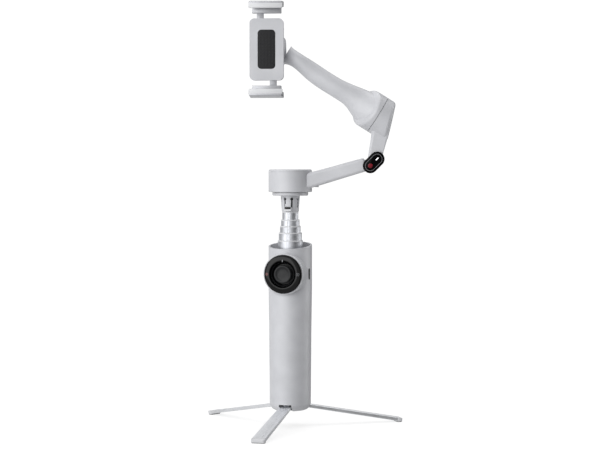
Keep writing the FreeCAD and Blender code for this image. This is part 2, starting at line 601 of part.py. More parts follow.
def tilt_arm():
    radius, cup = size("roll_radius"), size("tilt_radius")
    band = Part.makeCylinder(radius, 26, Vector(0, 0, seam_half_gap))
    beyond = Part.makeBox(80, 80, 60, Vector(-40, -40, 0))
    beyond.Placement = place((0, 0, size("bowl_start")), X, size("bowl_lean"))
    band = band.cut(beyond)
    slanted = [edge for edge in band.Edges if edge.CenterOfMass.z > 8 and edge.Length > 40]
    band = in_roll_frame(band.makeFillet(3.0, slanted))
    end = Vector(tilt_middle.x + 15.5, tilt_middle.y, tilt_middle.z - 2.0)
    along = (head.inverse() * roll_frame).Rotation
    back = along.multVec(Y)

    def section(travel, offset, half_up, half_deep, depth, pull=0.0):
        middle = roll_middle + travel * roll_axis + offset * roll_up + depth * back
        middle = middle + pull * (end - middle)
        return ellipse_wire(half_up, half_deep, Placement(middle, along))

    spar = Part.makeLoft([section(4.0, 0.0, 14.2, 14.0, 0.6), section(12.0, 0.2, 13.5, 11.6, 2.4),
                           section(19.5, 0.7, 11.9, 9.4, 4.0), section(26.5, 1.5, 9.8, 8.2, 4.4),
                          section(36.0, 1.2, 8.5, 7.4, 4.6), section(60.0, 1.2, 7.6, 6.8, 5.0, 0.30),
                          section(80.0, 1.0, 7.2, 6.4, 4.0, 0.62),
                          ellipse_wire(7.4, 6.6, Placement(end, along))], True, False)
    drum = Part.makeCylinder(cup, 12.0, Vector(0, 0, 2.6))
    drum = drum.makeFillet(3.0, [edge for edge in drum.Edges if edge.Closed and edge.CenterOfMass.z > 14])
    bell = in_roll_frame(Part.makeCylinder(bell_radius, roll_pocket, Vector(0, 0, 0.4 - roll_pocket)))
    bell = bell.cut(in_roll_frame(Part.makeCylinder(bell_radius - bell_wall, 20, Vector(0, 0, -20))))
    clear = in_roll_frame(Part.makeCylinder(radius + 9, 60, Vector(0, 0, seam_half_gap - 60)))
    shaft = in_roll_frame(Part.makeCylinder(roll_shaft, 9.0, Vector(0, 0, -roll_pocket - 1.4)))
    cup_hollow = Part.makeCylinder(cup - 1.5, 6.4, Vector(0, 0, 2.5))
    for shape in (drum, cup_hollow):
        shape.Placement = head.inverse() * tilt_frame * shape.Placement
    whole = band.fuse(spar).fuse(drum).cut(clear).cut(cup_hollow).fuse(shaft).fuse(bell)
    node(solid(whole, "TiltArm"), "tilt_arm", head)
    motor("tilt", tilt_frame * place((0, 0, 8.8), X, 180), core_radius=9.4, core_height=14.5,
          wall_radius=cup - bell_wall, wall_height=9.0, shaft=2.0, lift=7.5)


def tilt_rotor():
    cup = size("tilt_radius")
    inward = head.inverse() * tilt_frame
    drum = Part.makeCylinder(cup, 15.8, Vector(0, 0, -13.6))
    drum = drum.makeFillet(2.4, [edge for edge in drum.Edges if edge.Closed and edge.CenterOfMass.z < -13])
    hollow = Part.makeCylinder(cup - bell_wall, 12.0, Vector(0, 0, -9.2))
    shaft = Part.makeCylinder(2.0, 15.8, Vector(0, 0, -9.6))
    pad_depth = 4.0
    for shape in (drum, hollow, shaft):
        shape.Placement = inward
    plate_back = size("phone_back") + size("clamp_depth") + 1.9
    neck = Part.makeBox(14.4, pad_depth + 2, 16, Vector(tilt_middle.x - 13.0, plate_back,
                                                      tilt_middle.z - 8))
    whole = drum.fuse(neck).cut(hollow).fuse(shaft)
    node(solid(whole, "TiltRotor"), "tilt_rotor", head)
    plate_at = Vector(tilt_middle.x, plate_back, tilt_middle.z)
    plate = Part.makeCylinder(11.0, 1.7, plate_at, -Y)
    plate = plate.makeFillet(0.5, [edge for edge in plate.Edges
                                   if edge.Closed and edge.CenterOfMass.y < plate_back - 1])
    magnets = [Part.makeCylinder(1.9, 1.2, plate_at + Vector(7.4 * math.cos(turn), 0, 7.4 * math.sin(turn))
                                 - 0.5 * Y, -Y)
               for turn in [math.radians(60 * number) for number in range(6)]]
    for magnet in magnets:
        plate = plate.cut(magnet)
    node(solid(plate, "MountPlate"), "mount_plate", head)
    node(solid(Part.makeCompound(magnets), "MountMagnets"), "mount_magnets", head)


# ---------------------------------------------------------------- phone clamp
def clamp():
    back, depth = size("phone_back"), size("clamp_depth")
    across, height = size("clamp_across"), size("clamp_height")
    half, width = size("clamp_half_height"), size("jaw_width")
    middle = head * place((across, back, height))
    block = Part.makeBox(width, depth, 2 * half, Vector(-width / 2, 0, -half))
    upright = [edge for edge in block.Edges if edge.BoundBox.YLength > depth - 0.1]
    block = block.makeFillet(4.0, upright)
    rim = [edge for edge in block.Edges
           if edge.CenterOfMass.y > depth - 0.05 and edge.BoundBox.YLength < 0.1]
    block = block.makeFillet(1.4, rim)
    cavity = Part.makeBox(width - 4, depth, 2 * half - 5, Vector(-width / 2 + 2, 1.4, -half + 2.5))
    ways = [Part.makeBox(6.4, 3.3, half + 2, Vector(-8.7, 1.9, 0)),
            Part.makeBox(6.4, 3.3, half + 2, Vector(2.3, 1.9, -half - 2))]
    cover = Part.makeBox(width - 4.2, 1.4, 2 * half - 5.2, Vector(-width / 2 + 2.1, depth - 1.5, -half + 2.6))
    disc = Part.makeCylinder(9.6, 0.8, Vector(0, depth - 0.8, 0), Y)
    post = Part.makeCylinder(1.2, 4.6, Vector(0, 1.3, 0), Y)
    body = block.cut(cavity)
    for way in ways:
        body = body.cut(way)
    node(solid(body.fuse(post), "ClampBody"), "clamp_body", middle)
    node(solid(cover.cut(disc).fuse(disc), "ClampCover"), "clamp_cover", middle)
    spring = Part.makeCylinder(4.2, 0.9, Vector(0, 5.45, 0), Y)
    spring = spring.cut(Part.makeCylinder(3.2, 3, Vector(0, 4.4, 0), Y))
    node(solid(spring, "ClampSpring"), "clamp_spring", middle)
    pinion = Part.makeCylinder(2.0, 2.4, Vector(0, 2.2, 0), Y).cut(
        Part.makeCylinder(1.26, 6, Vector(0, 1, 0), Y))
    node(solid(pinion, "ClampPinion"), "clamp_pinion", middle)

    gap = size("phone_width") / 2
    thick, reach = size("jaw_thick"), size("phone_thick") + 3.4
    for name, way in (("upper", 1), ("lower", -1)):
        plate = Part.makeBox(width, reach + 6.6, thick, Vector(-width / 2, -reach, gap))
        lip = Part.makeBox(width, 2.6, 2.2, Vector(-width / 2, -reach, gap - 2.1))
        neck = Part.makeBox(width - 4, 5.4, 6.0, Vector(-width / 2 + 2, 1.2, gap - 5.4))
        rack = Part.makeBox(5.8, 2.7, gap + 11.0 - 4.0, Vector(-8.4, 2.2, -11.0))
        jaw = plate.fuse(lip).removeSplitter()
        outer = [edge for edge in jaw.Edges
                 if abs(edge.CenterOfMass.z - gap - thick) < 0.05 and edge.BoundBox.XLength > width - 1]
        sides = [edge for edge in jaw.Edges if edge.BoundBox.ZLength > thick - 0.1
                 and abs(edge.CenterOfMass.y + reach) < 0.1]
        jaw = jaw.makeFillet(1.6, outer + sides)
        jaw = jaw.fuse(neck).fuse(rack)
        pads = Part.makeBox(width - 3, size("phone_thick") - 0.4, 1.2,
                            Vector(-width / 2 + 1.5, -size("phone_thick") + 0.2, gap))
        jaw = jaw.cut(pads)
        if way < 0:
            jaw = jaw.mirror(Vector(), Z).mirror(Vector(), X)
            pads = pads.mirror(Vector(), Z).mirror(Vector(), X)
        node(solid(jaw, name.title() + "Jaw"), f"jaw_{name}", middle)
        node(solid(pads, name.title() + "Pad"), f"jaw_pad_{name}", middle)


# ---------------------------------------------------------------- build, check, write
handle_shell()
handle_base()
handle_inside()
tripod_hub()
for number, angle in enumerate(leg_angles, start=1):
    tripod_leg(number, angle)
controls()
rod()
collar()
pan_base()
pan_arm()
badge()
roll_arm()
tilt_arm()
tilt_rotor()
clamp()
doc.recompute()

for item in doc.Objects:
    if "Invalid" in item.State or "Error" in item.State:
        raise RuntimeError(f"{item.Label} failed: {item.State}")

os.makedirs("parts", exist_ok=True)
for part, name in nodes:
    shape = part.Shape
    if shape.isNull() or not shape.isValid() or not shape.Solids:
        raise RuntimeError(f"{name} has no valid solid")
    shape.exportStep(os.path.join("parts", name + ".step"))
    print(f"{name}: {len(shape.Solids)} solid(s), {shape.Volume:.1f} mm3")
print(len(nodes), "nodes")
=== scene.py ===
import bpy
import bmesh
import json
import math
from mathutils import Matrix, Vector


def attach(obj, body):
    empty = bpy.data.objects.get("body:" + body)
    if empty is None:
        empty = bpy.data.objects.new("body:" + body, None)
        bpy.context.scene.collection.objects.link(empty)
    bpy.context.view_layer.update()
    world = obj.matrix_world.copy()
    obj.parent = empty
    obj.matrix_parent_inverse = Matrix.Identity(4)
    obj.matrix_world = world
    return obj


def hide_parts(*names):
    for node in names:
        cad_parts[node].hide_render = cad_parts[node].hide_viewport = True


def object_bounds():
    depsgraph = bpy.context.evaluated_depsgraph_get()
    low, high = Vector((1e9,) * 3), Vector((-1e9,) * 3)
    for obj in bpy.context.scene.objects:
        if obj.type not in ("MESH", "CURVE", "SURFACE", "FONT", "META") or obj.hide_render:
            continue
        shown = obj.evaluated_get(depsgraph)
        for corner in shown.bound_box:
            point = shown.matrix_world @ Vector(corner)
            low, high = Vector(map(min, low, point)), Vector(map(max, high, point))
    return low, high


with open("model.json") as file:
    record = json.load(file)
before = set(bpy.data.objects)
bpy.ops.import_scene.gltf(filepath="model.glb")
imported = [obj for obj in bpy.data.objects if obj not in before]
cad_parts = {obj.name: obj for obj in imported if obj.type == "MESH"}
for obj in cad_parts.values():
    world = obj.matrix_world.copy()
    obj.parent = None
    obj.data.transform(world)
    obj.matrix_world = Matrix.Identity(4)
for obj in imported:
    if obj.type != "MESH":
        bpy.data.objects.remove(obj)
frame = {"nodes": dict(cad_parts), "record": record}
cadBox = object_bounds()
print("frame loaded:", len(frame["nodes"]), "nodes")

mm = 0.001


camera = {
    "azimuth": 15.3,        # degrees, towards the handle's right side
    "distance": 1.441,      # from the handle's axis
    "height": 0.2052,       # level with the top of the pan motor
    "pitch": 1.85,
    "pan": 0.33,
    "lens": 101.2,          # mm on a 36 mm sensor
}


def placeCamera():
    data = bpy.data.cameras.new("camera")
    data.lens = camera["lens"]
    data.sensor_width = 36
    data.clip_end = 50
    view = bpy.data.objects.new("camera", data)
    turn = math.radians(camera["azimuth"])
    view.location = (camera["distance"] * math.sin(turn), -camera["distance"] * math.cos(turn),
                     camera["height"])
    view.rotation_euler = (math.radians(90 - camera["pitch"]), 0,
                           turn - math.radians(camera["pan"]))
    bpy.context.collection.objects.link(view)
    bpy.context.scene.camera = view


lights = {
    # name: position, aimed point, size in metres, power in watts
    "key": ((-0.85, -1.78, 0.65), (0, 0, 0.17), (2.3, 1.9), 29.0),
    "rim": ((1.17, 0.62, 0.45), (0, 0, 0.17), (0.7, 1.3), 4.5),
    "top": ((0.1, 0.3, 1.5), (0, 0, 0.1), (0.8, 0.8), 4.0),
}
studio = {
    "seen": 1.05, "lighting": 0.72,     # backdrop as the camera sees it, and as it lights
    "flags": (                          # black cards: azimuth, half width, soft edge, darkness
        (68, 24, 16, 0.92),            # to the right, for the dark band on the rod and handle
        (-93, 6, 8, 0.8),              # to the left, for the thin dark line
        (162, 14, 12, 0.75),            # behind, for the legs' dark walls
    ),
}


def lightScene():
    for name, (spot, aim, extent, power) in lights.items():
        data = bpy.data.lights.new(name, "AREA")
        data.shape = "RECTANGLE"
        data.size, data.size_y = extent
        data.energy = power
        lamp = bpy.data.objects.new(name, data)
        lamp.location = spot
        lamp.rotation_euler = (Vector(aim) - Vector(spot)).to_track_quat("-Z", "Y").to_euler()
        bpy.context.collection.objects.link(lamp)
    world = bpy.data.worlds.new("studio")
    world.use_nodes = True
    background = world.node_tree.nodes["Background"]
    background.inputs["Color"].default_value = (1, 1, 1, 1)
    way = addNode(world, "ShaderNodeTexCoord")
    level = addNode(world, "ShaderNodeVectorMath", {"operation": "MULTIPLY"},
                    _0=way.outputs["Generated"], _1=(1.0, 1.0, 0.35))
    unit = addNode(world, "ShaderNodeVectorMath", {"operation": "NORMALIZE"}, _0=level.outputs["Vector"])
    lit = studio["lighting"]
    for azimuth, half, edge, darkness in studio["flags"]:
        turn = math.radians(azimuth)
        facing = addNode(world, "ShaderNodeVectorMath", {"operation": "DOT_PRODUCT"},
                         _0=unit.outputs["Vector"], _1=(math.sin(turn), -math.cos(turn), 0.0))
        card = addNode(world, "ShaderNodeMapRange", {"interpolation_type": "SMOOTHSTEP"},
                       Value=facing.outputs["Value"], From_Min=math.cos(math.radians(half + edge)),
                       From_Max=math.cos(math.radians(half)), To_Min=1.0, To_Max=1 - darkness)
        lit = addNode(world, "ShaderNodeMath", {"operation": "MULTIPLY"}, _0=lit,
                      _1=card.outputs["Result"]).outputs["Value"]
    path = addNode(world, "ShaderNodeLightPath")
    strength = addNode(world, "ShaderNodeMix", {"data_type": "FLOAT"}, _0=path.outputs["Is Camera Ray"],
                       _2=lit, _3=studio["seen"])
    world.node_tree.links.new(strength.outputs[0], background.inputs["Strength"])
    bpy.context.scene.world = world
    bpy.context.scene.view_settings.view_transform = "Standard"


def linear(value):      # sRGB hex to linear red, green, blue and alpha
    channels = [int(value[place:place + 2], 16) / 255 for place in (0, 2, 4)]
    return tuple(c / 12.92 if c <= 0.04045 else ((c + 0.055) / 1.055) ** 2.4 for c in channels) + (1.0,)


# Links gives each input, by name or as _number, a value or another node's output.
def addNode(material, kind, settings=None, **links):
    tree = material.node_tree
    node = tree.nodes.new(kind)
    for name, value in (settings or {}).items():
        setattr(node, name, value)
    for name, value in links.items():
        key = name.replace("_", " ") if name.replace("_", " ") in node.inputs else int(name[1:])
        if isinstance(value, bpy.types.NodeSocket):
            tree.links.new(value, node.inputs[key])
        else:
            node.inputs[key].default_value = value
    return node


def newMaterial(name, **shader):
    material = bpy.data.materials.new(name)
    material.use_nodes = True
    bsdf = material.node_tree.nodes["Principled BSDF"]
    for key, value in shader.items():
        bsdf.inputs[key.replace("_", " ")].default_value = value
    return material, bsdf


print("helpers ready")


floorLevel = cadBox[0][2]


def layFloor():
    mesh = bpy.data.meshes.new("floor")
    shape = bmesh.new()
    bmesh.ops.create_circle(shape, cap_ends=True, segments=96, radius=0.62)
    bmesh.ops.translate(shape, verts=shape.verts, vec=(0, 0, floorLevel - 0.0002))
    shape.to_mesh(mesh)
    floor = bpy.data.objects.new("floor", mesh)
    bpy.context.collection.objects.link(floor)
    floor.visible_diffuse = False       # the sweep's own glow stays off the handle
    floor.visible_glossy = False        # and out of the metal's reflections
    material, bsdf = newMaterial("pale_floor", Roughness=0.9, Specular_IOR_Level=0.0)
    bsdf.inputs["Base Color"].default_value = linear("A0A0A0")
    bsdf.inputs["Emission Color"].default_value = (1, 1, 1, 1)
    bsdf.inputs["Emission Strength"].default_value = 0.72
    floor.data.materials.append(material)


def join(material, bsdf, **sockets):
    for name, source in sockets.items():
        material.node_tree.links.new(source, bsdf.inputs[name.replace("_", " ")])
    return material


# ABS out of a spark-eroded mould: even colour, a fine matt grain, handled patches a bit glossier.
def mouldedPlastic(name, pale, dark, rough, grain=0.45, depth=0.012, blotch=14.0, **shader):
    material, bsdf = newMaterial(name, IOR=1.53, **shader)
    place = addNode(material, "ShaderNodeTexCoord").outputs["Object"]
    patches = addNode(material, "ShaderNodeTexNoise", Vector=place, Scale=1 / (blotch * mm), Detail=3.0)
    fine = addNode(material, "ShaderNodeTexNoise", Vector=place, Scale=1 / (grain * mm), Detail=2.0)
    share = addNode(material, "ShaderNodeMapRange", Value=patches.outputs["Fac"], From_Min=0.3,
                    From_Max=0.7)
    colour = addNode(material, "ShaderNodeMix", {"data_type": "RGBA"}, _0=share.outputs["Result"],
                     _6=linear(pale), _7=linear(dark))
    haze = addNode(material, "ShaderNodeMapRange", Value=patches.outputs["Fac"], From_Min=0.3,
                   From_Max=0.7, To_Min=rough - 0.045, To_Max=rough + 0.045)
    relief = addNode(material, "ShaderNodeBump", Strength=1.0, Distance=depth * mm,
                     Height=fine.outputs["Fac"])
    return join(material, bsdf, Base_Color=colour.outputs[2], Roughness=haze.outputs["Result"],
                Normal=relief.outputs["Normal"])


# Acrylic polished to a deep mirror, with a trace of dust and fine wipe marks.
def glossBlack(name, tint, haze, rough, shine):
    material, bsdf = newMaterial(name, IOR=1.49, Specular_IOR_Level=shine)
    place = addNode(material, "ShaderNodeTexCoord").outputs["Object"]
    leant = addNode(material, "ShaderNodeMapping", Vector=place, Rotation=(0, math.radians(35), 0))
    drawn = addNode(material, "ShaderNodeMapping", Vector=leant.outputs["Vector"], Scale=(1, 1, 0.12))
    wiped = addNode(material, "ShaderNodeTexNoise", Vector=drawn.outputs["Vector"], Scale=1 / (2.2 * mm),
                    Detail=4.0)
    dust = addNode(material, "ShaderNodeTexNoise", Vector=place, Scale=1 / (0.5 * mm), Detail=1.0)
    swell = addNode(material, "ShaderNodeTexNoise", Vector=place, Scale=1 / (9.0 * mm), Detail=1.0)
    share = addNode(material, "ShaderNodeMapRange", Value=dust.outputs["Fac"], From_Min=0.55, From_Max=0.8)
    colour = addNode(material, "ShaderNodeMix", {"data_type": "RGBA"}, _0=share.outputs["Result"],
                     _6=linear(tint), _7=linear(haze))
    marks = addNode(material, "ShaderNodeMapRange", Value=wiped.outputs["Fac"], From_Min=0.3, From_Max=0.7,
                    To_Min=rough, To_Max=rough + 0.09)
    relief = addNode(material, "ShaderNodeBump", Strength=1.0, Distance=0.01 * mm,
                     Height=swell.outputs["Fac"])
    return join(material, bsdf, Base_Color=colour.outputs[2], Roughness=marks.outputs["Result"],
                Normal=relief.outputs["Normal"])


# Drawn or brushed metal: fine lines along the stretched axis, so highlights smear across them.
def drawnMetal(name, pale, dark, rough, line, turn=0, along=(1, 1, 0.02), depth=0.004):
    material, bsdf = newMaterial(name, Metallic=1.0, Anisotropic=0.35)
    place = addNode(material, "ShaderNodeTexCoord").outputs["Object"]
    faced = addNode(material, "ShaderNodeMapping", Vector=place, Rotation=(0, 0, math.radians(turn)))
    drawn = addNode(material, "ShaderNodeMapping", Vector=faced.outputs["Vector"], Scale=along)
    lines = addNode(material, "ShaderNodeTexNoise", Vector=drawn.outputs["Vector"],
                    Scale=1 / (line * mm), Detail=3.0)
    cloud = addNode(material, "ShaderNodeTexNoise", Vector=faced.outputs["Vector"],
                    Scale=1 / (7.0 * mm), Detail=3.0)
    share = addNode(material, "ShaderNodeMapRange", Value=lines.outputs["Fac"], From_Min=0.3, From_Max=0.7)
    colour = addNode(material, "ShaderNodeMix", {"data_type": "RGBA"}, _0=share.outputs["Result"],
                     _6=linear(pale), _7=linear(dark))
    haze = addNode(material, "ShaderNodeMapRange", Value=cloud.outputs["Fac"], From_Min=0.3, From_Max=0.7,
                   To_Min=rough - 0.05, To_Max=rough + 0.06)
    relief = addNode(material, "ShaderNodeBump", Strength=1.0, Distance=depth * mm,
                     Height=lines.outputs["Fac"])
    return join(material, bsdf, Base_Color=colour.outputs[2], Roughness=haze.outputs["Result"],
                Normal=relief.outputs["Normal"])


# Plated, turned or die-cast metal: a faint orange peel and duller spots.
def castMetal(name, pale, dark, rough, pit=0.7, depth=0.01):
    material, bsdf = newMaterial(name, Metallic=1.0)
    place = addNode(material, "ShaderNodeTexCoord").outputs["Object"]
    spots = addNode(material, "ShaderNodeTexNoise", Vector=place, Scale=1 / (pit * mm), Detail=4.0)
    share = addNode(material, "ShaderNodeMapRange", Value=spots.outputs["Fac"], From_Min=0.3, From_Max=0.7)
    colour = addNode(material, "ShaderNodeMix", {"data_type": "RGBA"}, _0=share.outputs["Result"],
                     _6=linear(pale), _7=linear(dark))
    haze = addNode(material, "ShaderNodeMapRange", Value=spots.outputs["Fac"], From_Min=0.3, From_Max=0.7,
                   To_Min=rough - 0.05, To_Max=rough + 0.08)
    relief = addNode(material, "ShaderNodeBump", Strength=1.0, Distance=depth * mm,
                     Height=spots.outputs["Fac"])
    return join(material, bsdf, Base_Color=colour.outputs[2], Roughness=haze.outputs["Result"],
                Normal=relief.outputs["Normal"])


# Enamelled copper wire laid round the stator teeth, 0.35 mm thick: warm glinting ridges.
def wovenWindings(name):
    material, bsdf = newMaterial(name, Metallic=1.0)
    place = addNode(material, "ShaderNodeTexCoord").outputs["Object"]
    wires = addNode(material, "ShaderNodeTexWave", {"bands_direction": "DIAGONAL"}, Vector=place,
                    Scale=0.16 / (0.35 * mm), Distortion=1.2, Detail=1.0)
    colour = addNode(material, "ShaderNodeMix", {"data_type": "RGBA"}, _0=wires.outputs["Fac"],
                     _6=linear("6E3216"), _7=linear("C9743A"))
    haze = addNode(material, "ShaderNodeMapRange", Value=wires.outputs["Fac"], To_Min=0.42, To_Max=0.24)
    relief = addNode(material, "ShaderNodeBump", Strength=1.0, Distance=0.12 * mm,
                     Height=wires.outputs["Fac"])
    return join(material, bsdf, Base_Color=colour.outputs[2], Roughness=haze.outputs["Result"],
                Normal=relief.outputs["Normal"])


# Green solder mask over copper tracks about 0.6 mm apart, with bare tinned pads that shine.
def solderMask(name):
    material, bsdf = newMaterial(name, IOR=1.5, Coat_Weight=0.4, Coat_Roughness=0.12)
    place = addNode(material, "ShaderNodeTexCoord").outputs["Object"]
    tracks = addNode(material, "ShaderNodeTexBrick", Vector=place, Scale=1 / (4.0 * mm),
                     Color1=linear("0C4526"), Color2=linear("115733"), Mortar=linear("1C7A49"),
                     Mortar_Size=0.06)
    pads = addNode(material, "ShaderNodeTexVoronoi", Vector=place, Scale=1 / (2.4 * mm))
    tinned = addNode(material, "ShaderNodeMapRange", Value=pads.outputs["Distance"], From_Min=0.13,
                     From_Max=0.16, To_Min=1, To_Max=0)
    colour = addNode(material, "ShaderNodeMix", {"data_type": "RGBA"}, _0=tinned.outputs["Result"],
                     _6=tracks.outputs["Color"], _7=linear("C9CBC8"))
    haze = addNode(material, "ShaderNodeMapRange", Value=pads.outputs["Distance"], From_Min=0.3,
                   From_Max=0.7, To_Min=0.32, To_Max=0.4)
    relief = addNode(material, "ShaderNodeBump", Strength=1.0, Distance=0.03 * mm,
                     Height=pads.outputs["Distance"])
    return join(material, bsdf, Base_Color=colour.outputs[2], Metallic=tinned.outputs["Result"],
                Roughness=haze.outputs["Result"], Normal=relief.outputs["Normal"])


# Tinted acrylic over an LED: an even glow with faintly uneven depth.
def glowingLens(name, tint, deep, glow, **shader):
    material, bsdf = newMaterial(name, IOR=1.49, Roughness=0.16, Emission_Strength=glow, **shader)
    place = addNode(material, "ShaderNodeTexCoord").outputs["Object"]
    cells = addNode(material, "ShaderNodeTexNoise", Vector=place, Scale=1 / (0.9 * mm), Detail=2.0)
    share = addNode(material, "ShaderNodeMapRange", Value=cells.outputs["Fac"], From_Min=0.3, From_Max=0.7)
    colour = addNode(material, "ShaderNodeMix", {"data_type": "RGBA"}, _0=share.outputs["Result"],
                     _6=linear(tint), _7=linear(deep))
    return join(material, bsdf, Base_Color=colour.outputs[2], Emission_Color=colour.outputs[2])


# Silicone rubber, tumbled matt, with a leathery pebble about 0.8 mm across and a soft sheen.
def mouldedRubber(name, tint, worn):
    material, bsdf = newMaterial(name, IOR=1.43, Sheen_Weight=0.25)
    place = addNode(material, "ShaderNodeTexCoord").outputs["Object"]
    pebbles = addNode(material, "ShaderNodeTexVoronoi", {"feature": "SMOOTH_F1"}, Vector=place,
                      Scale=1 / (0.8 * mm))
    patches = addNode(material, "ShaderNodeTexNoise", Vector=place, Scale=1 / (5.0 * mm), Detail=3.0)
    share = addNode(material, "ShaderNodeMapRange", Value=patches.outputs["Fac"], From_Min=0.3,
                    From_Max=0.7)
    colour = addNode(material, "ShaderNodeMix", {"data_type": "RGBA"}, _0=share.outputs["Result"],
                     _6=linear(tint), _7=linear(worn))
    haze = addNode(material, "ShaderNodeMapRange", Value=patches.outputs["Fac"], From_Min=0.3,
                   From_Max=0.7, To_Min=0.72, To_Max=0.86)
    relief = addNode(material, "ShaderNodeBump", Strength=1.0, Distance=0.06 * mm,
                     Height=pebbles.outputs["Distance"])
    return join(material, bsdf, Base_Color=colour.outputs[2], Roughness=haze.outputs["Result"],
                Normal=relief.outputs["Normal"])


finishes = {
    "grey_housing": mouldedPlastic("satin_abs_housing", "C9CACE", "C1C2C6", 0.40),
    "light_plastic": mouldedPlastic("pale_abs_trim", "DDDEE0", "D3D4D7", 0.34, depth=0.008),
    "black_gloss": glossBlack("piano_black_acrylic", "040405", "08090A", 0.12, 0.26),
    "black_plastic": mouldedPlastic("eroded_black_abs", "131417", "0E0F11", 0.42, depth=0.02,
                                    Specular_IOR_Level=0.3),
    "leg_aluminium": drawnMetal("anodised_leg_aluminium", "B9BBBF", "A2A4A9", 0.36, 0.5),
    "foot_plastic": mouldedPlastic("pale_nylon_tips", "D6D7DA", "C9CACD", 0.44),
    "rod_aluminium": drawnMetal("drawn_tube_aluminium", "D2D4D8", "C2C4C9", 0.47, 0.6),
    "rubber_pad": mouldedRubber("silicone_rubber", "1A1A1C", "232326"),
    "steel": castMetal("turned_steel", "C2C3C6", "97989B", 0.28),
    "copper_windings": wovenWindings("enamelled_copper_wire"),
    "magnet": castMetal("nickel_plated_magnet", "C4C3BE", "A4A39E", 0.22, depth=0.006),
    "battery_wrap": mouldedPlastic("pvc_shrink_wrap", "25497A", "1C3A66", 0.26, grain=2.5, depth=0.05),
    "circuit_board": solderMask("solder_mask_board"),
    "brass_insert": castMetal("turned_brass", "D0A65A", "A87F3C", 0.27),
    "status_lamp": glowingLens("red_lamp_lens", "8C0E22", "3C040C", 0.2, Specular_IOR_Level=0.25),
}
whiteGlow = glowingLens("white_lamp_lens", "F4F5F7", "DCDDE0", 0.55)
recordMark = mouldedPlastic("red_record_print", "5A2623", "4A1F1D", 0.35, depth=0.003)
greyPrint = mouldedPlastic("grey_pad_print", "66676A", "57585B", 0.4, depth=0.003)
palePrint = mouldedPlastic("pale_pad_print", "85868A", "757679", 0.4, depth=0.003)
badgePrint = mouldedPlastic("silver_badge_print", "77787C", "67686C", 0.35, depth=0.003)
badgeBlack = glossBlack("polished_black_glass", "010102", "030304", 0.04, 0.05)
jawSkin = mouldedPlastic("metallic_jaw_paint", "BDBEC2", "B0B1B5", 0.33, grain=0.3, Metallic=0.35)
# pale grey ring metal: painted reflection, standing in for the crescent of light on the black bowl's rim
reflectionRingMetal = castMetal("painted_reflection_ring_metal", "8E9095", "7C7E83", 0.33, pit=0.4, depth=0.004)
legMetals = [drawnMetal(f"anodised_leg_aluminium_{number}", "F4F5F7", "E2E4E8", 0.42, 0.35,
                        turn=-angle, along=(0.02, 1, 1))
             for number, angle in enumerate((-90, 30, 150), start=1)]
print("finishes mixed:", len(finishes))


# Every piece is drawn in mm about its own centre, then put in place.
def spun(outline, steps=96):    # closed outline of (radius, height) turned about Z
    shape = bmesh.new()
    corners = [shape.verts.new((radius * mm, 0, height * mm)) for radius, height in outline]
    ribs = [shape.edges.new(pair) for pair in zip(corners, corners[1:] + corners[:1])]
    bmesh.ops.spin(shape, geom=corners + ribs, cent=(0, 0, 0), axis=(0, 0, 1),
                   angle=2 * math.pi, steps=steps, use_merge=True)
    bmesh.ops.remove_doubles(shape, verts=shape.verts, dist=0.0001 * mm)
    return shape


def soften(shape, width, segments=2):
    bmesh.ops.recalc_face_normals(shape, faces=shape.faces)
    edges = [edge for edge in shape.edges
             if edge.is_manifold and edge.calc_face_angle() > math.radians(30)]
    bmesh.ops.bevel(shape, geom=edges, offset=width * mm, affect="EDGES", segments=segments,
                    profile=0.5, material=-1, clamp_overlap=True)
    return shape


# Box centred on the origin; corner rounds its four upright edges, soft rounds the rest.
def block(length, width, height, corner=0.0, soft=0.25, segments=6):
    shape = bmesh.new()
    bmesh.ops.create_cube(shape, size=1)
    bmesh.ops.scale(shape, vec=(length * mm, width * mm, height * mm), verts=shape.verts)
    if corner:
        upright = [edge for edge in shape.edges
                   if abs(edge.verts[0].co.z - edge.verts[1].co.z) > 0.5 * height * mm]
        bmesh.ops.bevel(shape, geom=upright, offset=corner * mm, affect="EDGES", segments=segments,
                        profile=0.5, material=-1)
    return soften(shape, soft) if soft else shape


def moved(shape, x=0.0, y=0.0, z=0.0, turn=None):
    if turn:
        bmesh.ops.rotate(shape, cent=(0, 0, 0), verts=shape.verts,
                         matrix=Matrix.Rotation(math.radians(turn[1]), 3, turn[0]))
    bmesh.ops.translate(shape, verts=shape.verts, vec=(x * mm, y * mm, z * mm))
    return shape


def joined(*shapes):
    whole = bmesh.new()
    for shape in shapes:
        part = bpy.data.meshes.new("part")
        shape.to_mesh(part)
        shape.free()
        whole.from_mesh(part)
        bpy.data.meshes.remove(part)
    return whole


def at(x, y, z):
    return Matrix.Translation((x * mm, y * mm, z * mm))


def turned(axis, degrees):
    return Matrix.Rotation(math.radians(degrees), 4, axis)


def addPiece(name, shape, slot, body, place=None, replaced=(), material=None):
    if place is not None:
        bmesh.ops.transform(shape, matrix=place, verts=shape.verts)
    bmesh.ops.recalc_face_normals(shape, faces=shape.faces)
    mesh = bpy.data.meshes.new(name)
    shape.to_mesh(mesh)
    shape.free()
    mesh.shade_smooth()
    mesh.set_sharp_from_angle(angle=math.radians(38))
    mesh.materials.append(material or finishes[slot])
    piece = bpy.data.objects.new(name, mesh)
    bpy.context.collection.objects.link(piece)
    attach(piece, body)
    for node in replaced:
        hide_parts(node)
    return piece


head = turned("Z", 11.3)        # everything above the pan motor is turned by this


badge = {
    "middle": (71.5, -15.1, 211.6), "lean": 45, "length": 19.9, "width": 11.8, "thick": 0.9,
    "lineInset": 1.55, "lineWidth": 0.36, "lampAt": -3.96, "lampRadius": 2.0, "barAt": 4.15,
    "barLength": 3.2, "barWidth": 1.0,
}


